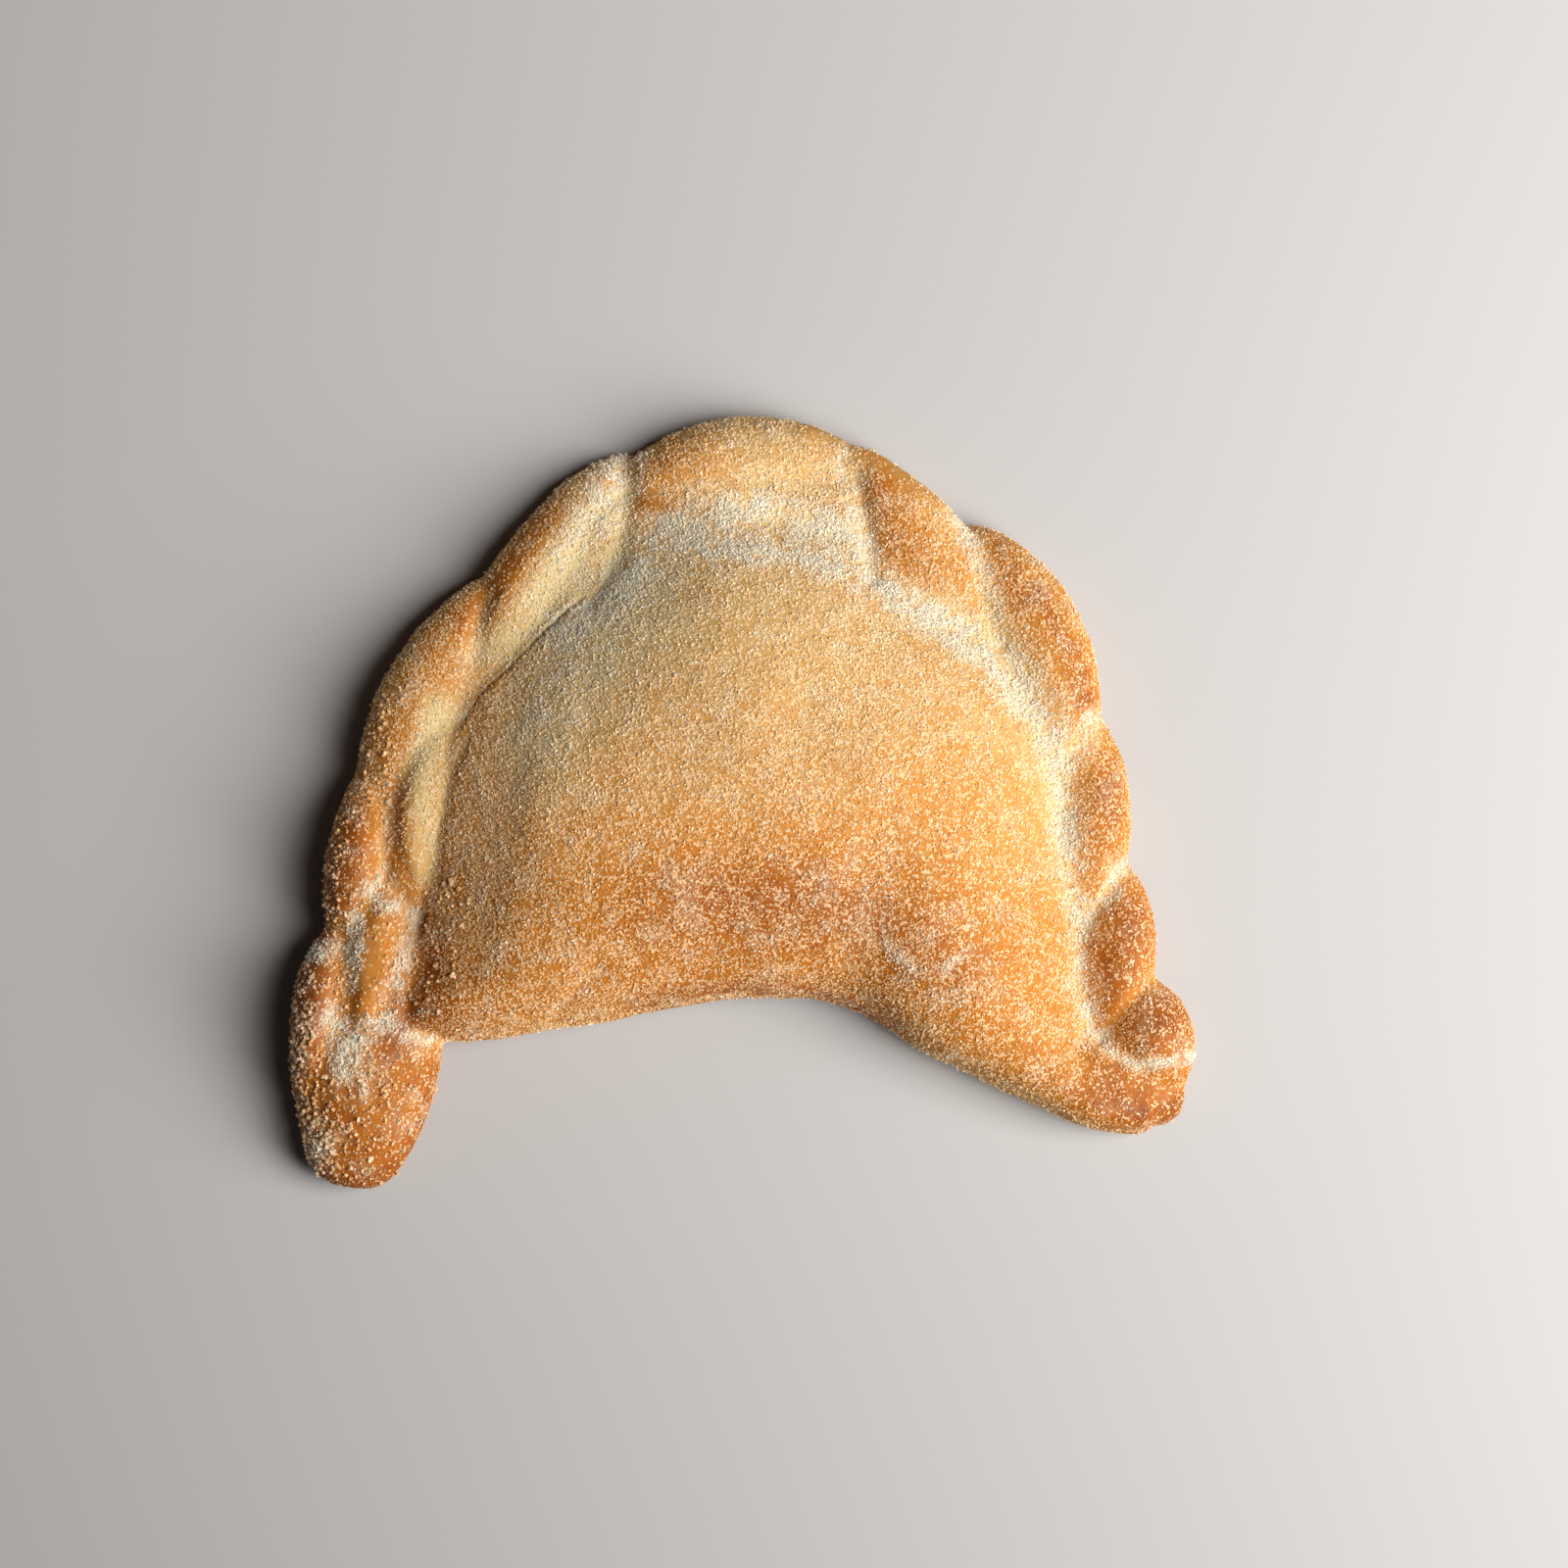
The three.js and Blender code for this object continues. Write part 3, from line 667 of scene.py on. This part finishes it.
def scatter_group():
    """Geometry node group: strews one crystal over the skin, as thick as a mask on it says."""
    group = bpy.data.node_groups.new("strewn_sugar", "GeometryNodeTree")
    sockets = (
        ("Skin", "INPUT", "NodeSocketGeometry"),
        ("Crystal", "INPUT", "NodeSocketObject"),
        ("Mask", "INPUT", "NodeSocketString"),
        ("Per square metre", "INPUT", "NodeSocketFloat"),
        ("Smallest", "INPUT", "NodeSocketFloat"),
        ("Largest", "INPUT", "NodeSocketFloat"),
        ("Lowest", "INPUT", "NodeSocketFloat"),
        ("Highest", "INPUT", "NodeSocketFloat"),
        ("Seed", "INPUT", "NodeSocketInt"),
        ("Sugar", "OUTPUT", "NodeSocketGeometry"),
    )
    for name, direction, kind in sockets:
        group.interface.new_socket(name, in_out=direction, socket_type=kind)
    given = add_node(group, "NodeGroupInput")
    result = add_node(group, "NodeGroupOutput")
    mask = add_node(group, "GeometryNodeInputNamedAttribute", data_type="FLOAT")
    density = add_node(group, "ShaderNodeMath", operation="MULTIPLY")
    points = add_node(group, "GeometryNodeDistributePointsOnFaces", distribute_method="RANDOM")
    rise = add_node(group, "FunctionNodeRandomValue", data_type="FLOAT")
    outward = add_node(group, "ShaderNodeVectorMath", operation="SCALE")
    lifted = add_node(group, "GeometryNodeSetPosition")
    crystal = add_node(group, "GeometryNodeObjectInfo")
    turn = add_node(group, "FunctionNodeRandomValue", {"Max": (math.tau, math.tau, math.tau)},
                    data_type="FLOAT_VECTOR")
    size = add_node(group, "FunctionNodeRandomValue", data_type="FLOAT")
    strewn = add_node(group, "GeometryNodeInstanceOnPoints")
    real = add_node(group, "GeometryNodeRealizeInstances")
    link = group.links.new
    link(given.outputs["Skin"], points.inputs["Mesh"])
    link(given.outputs["Mask"], mask.inputs["Name"])
    link(mask.outputs["Attribute"], density.inputs[0])
    link(given.outputs["Per square metre"], density.inputs[1])
    link(density.outputs[0], points.inputs["Density"])
    link(given.outputs["Seed"], points.inputs["Seed"])
    link(given.outputs["Lowest"], rise.inputs[RANDOM_MIN])
    link(given.outputs["Highest"], rise.inputs[RANDOM_MAX])
    link(points.outputs["Normal"], outward.inputs[0])
    link(rise.outputs[RANDOM_NUMBER], outward.inputs["Scale"])
    link(points.outputs["Points"], lifted.inputs["Geometry"])
    link(outward.outputs["Vector"], lifted.inputs["Offset"])
    link(given.outputs["Crystal"], crystal.inputs["Object"])
    link(given.outputs["Seed"], size.inputs["Seed"])
    link(given.outputs["Smallest"], size.inputs[RANDOM_MIN])
    link(given.outputs["Largest"], size.inputs[RANDOM_MAX])
    link(lifted.outputs["Geometry"], strewn.inputs["Points"])
    link(crystal.outputs["Geometry"], strewn.inputs["Instance"])
    link(turn.outputs["Value"], strewn.inputs["Rotation"])
    link(size.outputs[RANDOM_NUMBER], strewn.inputs["Scale"])
    link(strewn.outputs["Instances"], real.inputs["Geometry"])
    link(real.outputs["Geometry"], result.inputs["Sugar"])
    return group


strewing = scatter_group()

THICK_SUGAR = (0.95, 0.86, 0.68)    # sugar on sugar, off white
HEAPED_WHITENESS = 0.92         # how near to that the crystals of a heap are
MOTTLING_THROUGH_SUGAR = 0.2    # through a crystal the crust looks evener,
GAMMA_THROUGH_SUGAR = 0.7       # paler
LIGHT_THROUGH_SUGAR = 1.40      # and brighter


def sugar_finish(name, whiteness):
    """A sugar kind's material: near white, tinted by the crust that shines through it."""
    finish, surface = new_finish(name, {
        "Roughness": 0.42,
        "Subsurface Weight": 0.5,
        "Subsurface Radius": (1.0, 0.85, 0.65),
        "Subsurface Scale": 0.4 * MM,
    })
    tree = finish.node_tree
    bake_and_painted_light_node = add_node(tree, "ShaderNodeAttribute", attribute_name="bake_and_painted_light")
    below = add_node(tree, "ShaderNodeGroup", {"Mottling": MOTTLING_THROUGH_SUGAR},
                     node_tree=browning)
    paler = add_node(tree, "ShaderNodeGamma", {"Gamma": GAMMA_THROUGH_SUGAR})
    lit = add_node(tree, "ShaderNodeHueSaturation", {"Value": LIGHT_THROUGH_SUGAR})
    drifts = add_node(tree, "ShaderNodeAttribute", attribute_name="drifted")
    thick = add_node(tree, "ShaderNodeMapRange", {"To Min": whiteness, "To Max": HEAPED_WHITENESS})
    tint = add_node(tree, "ShaderNodeMix", {MIX_B: (*THICK_SUGAR, 1.0)}, data_type="RGBA")
    link = tree.links.new
    link(bake_and_painted_light_node.outputs["Fac"], below.inputs["Bake"])
    link(below.outputs["Colour"], paler.inputs["Color"])
    link(paler.outputs["Color"], lit.inputs["Color"])
    link(lit.outputs["Color"], tint.inputs[MIX_A])
    link(drifts.outputs["Fac"], thick.inputs["Value"])
    link(thick.outputs["Result"], tint.inputs["Factor"])
    link(tint.outputs[MIXED], surface.inputs["Base Color"])
    return finish


SQUARE_CM_IN_SQUARE_METRE = 1e4


def strew_sugar(name, crystal, mask, per_square_cm, sizes, lift, whiteness, seed):
    """Makes one kind of sugar as a piece of its own, on a copy of the skin; sizes are in mm."""
    sugar = copied_piece(name, crust)
    bpy.ops.object.modifier_add(type="NODES")
    modifier = sugar.modifiers[-1]
    modifier.node_group = strewing
    given = {
        "Crystal": crystal,
        "Mask": mask,
        "Per square metre": per_square_cm * SQUARE_CM_IN_SQUARE_METRE,
        "Smallest": sizes[0],
        "Largest": sizes[1],
        "Lowest": lift[0] * MM,
        "Highest": lift[1] * MM,
        "Seed": seed,
    }
    for item in strewing.interface.items_tree:
        if item.name in given:
            modifier[item.identifier] = given[item.name]
    bpy.ops.object.modifier_apply(modifier=modifier.name)
    sugar.data.materials.clear()
    sugar.data.materials.append(sugar_finish(f"{name}_finish", whiteness))
    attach(sugar, "root")


grain = sugar_grain()
crystal = sugar_crystal(ONE_CRYSTAL)
clump = sugar_crystal(GROWN_TOGETHER)
strew_sugar("fine_sugar", grain, "dusted", per_square_cm=460, sizes=(0.24, 0.34),
            lift=(-0.04, 0.06), whiteness=0.14, seed=3)
strew_sugar("sugar_grains", grain, "dusted", per_square_cm=460, sizes=(0.32, 0.44),
            lift=(-0.04, 0.08), whiteness=0.22, seed=7)
strew_sugar("heaped_sugar", grain, "drifted", per_square_cm=1500, sizes=(0.30, 0.46),
            lift=(-0.05, 0.22), whiteness=0.75, seed=11)
strew_sugar("coarse_sugar", crystal, "coarse", per_square_cm=240, sizes=(0.34, 0.54),
            lift=(0.0, 0.16), whiteness=0.24, seed=19)
strew_sugar("sugar_clumps", clump, "coarse", per_square_cm=40, sizes=(0.34, 0.52),
            lift=(0.0, 0.12), whiteness=0.36, seed=23)
for pattern in (grain, crystal, clump):
    bpy.data.objects.remove(pattern)


# ---- Studio --------------------------------------------------------------------------------
# A pale table, one tall soft window on the right that reaches almost overhead, and a camera
# that looks straight down on the empanada.

TABLE_SIZE = 3.0
TABLE_DROP = 0.2 * MM           # keeps the table's face clear of the crust's underside
TABLE_COLOUR = (0.512, 0.508, 0.505)
TABLE_ROUGHNESS = 0.6

WINDOW_MIDDLE = (0.414, -0.049, 0.459)
WINDOW_FACES = (0.02, 0.474, 0.0)
WINDOW_WIDTH = 0.435
WINDOW_HEIGHT = 0.68
WINDOW_POWER = 8.5
WINDOW_COLOUR = (1.0, 0.975, 0.94)
ROOM_COLOUR = (1.0, 0.97, 0.92)
ROOM_LIGHT = 0.018

VIEW_MIDDLE = (5.6 * MM, 2.6 * MM)
VIEW_SPAN = 208.0 * MM          # what the view takes in, from side to side
VIEW_PLANE = 9.0 * MM           # at this height
CAMERA_HEIGHT = 0.70
CAMERA_REACH = 10.0

bpy.ops.mesh.primitive_plane_add(size=TABLE_SIZE, location=(0.0, 0.0, -TABLE_DROP))
table = bpy.context.object
table.name = "table"
table_finish, _ = new_finish("table_finish", {
    "Base Color": (*TABLE_COLOUR, 1.0),
    "Roughness": TABLE_ROUGHNESS,
})
table.data.materials.append(table_finish)

window_light = bpy.data.lights.new("window", "AREA")
window_light.shape = "RECTANGLE"
window_light.size = WINDOW_WIDTH
window_light.size_y = WINDOW_HEIGHT
window_light.energy = WINDOW_POWER
window_light.color = WINDOW_COLOUR
window = bpy.data.objects.new("window", window_light)
window.location = WINDOW_MIDDLE
into_the_room = Vector(WINDOW_FACES) - Vector(WINDOW_MIDDLE)
window.rotation_euler = into_the_room.to_track_quat("-Z", "Y").to_euler()
bpy.context.collection.objects.link(window)

room = bpy.data.worlds.new("room")
room.use_nodes = True
set_sockets(room.node_tree.nodes["Background"], {
    "Color": (*ROOM_COLOUR, 1.0),
    "Strength": ROOM_LIGHT,
})
bpy.context.scene.world = room
bpy.context.scene.view_settings.view_transform = "Standard"

camera_data = bpy.data.cameras.new("camera")
camera_data.lens = camera_data.sensor_width * (CAMERA_HEIGHT - VIEW_PLANE) / VIEW_SPAN
camera_data.clip_end = CAMERA_REACH
camera = bpy.data.objects.new("camera", camera_data)
camera.location = (*VIEW_MIDDLE, CAMERA_HEIGHT)
bpy.context.collection.objects.link(camera)
bpy.context.scene.camera = camera
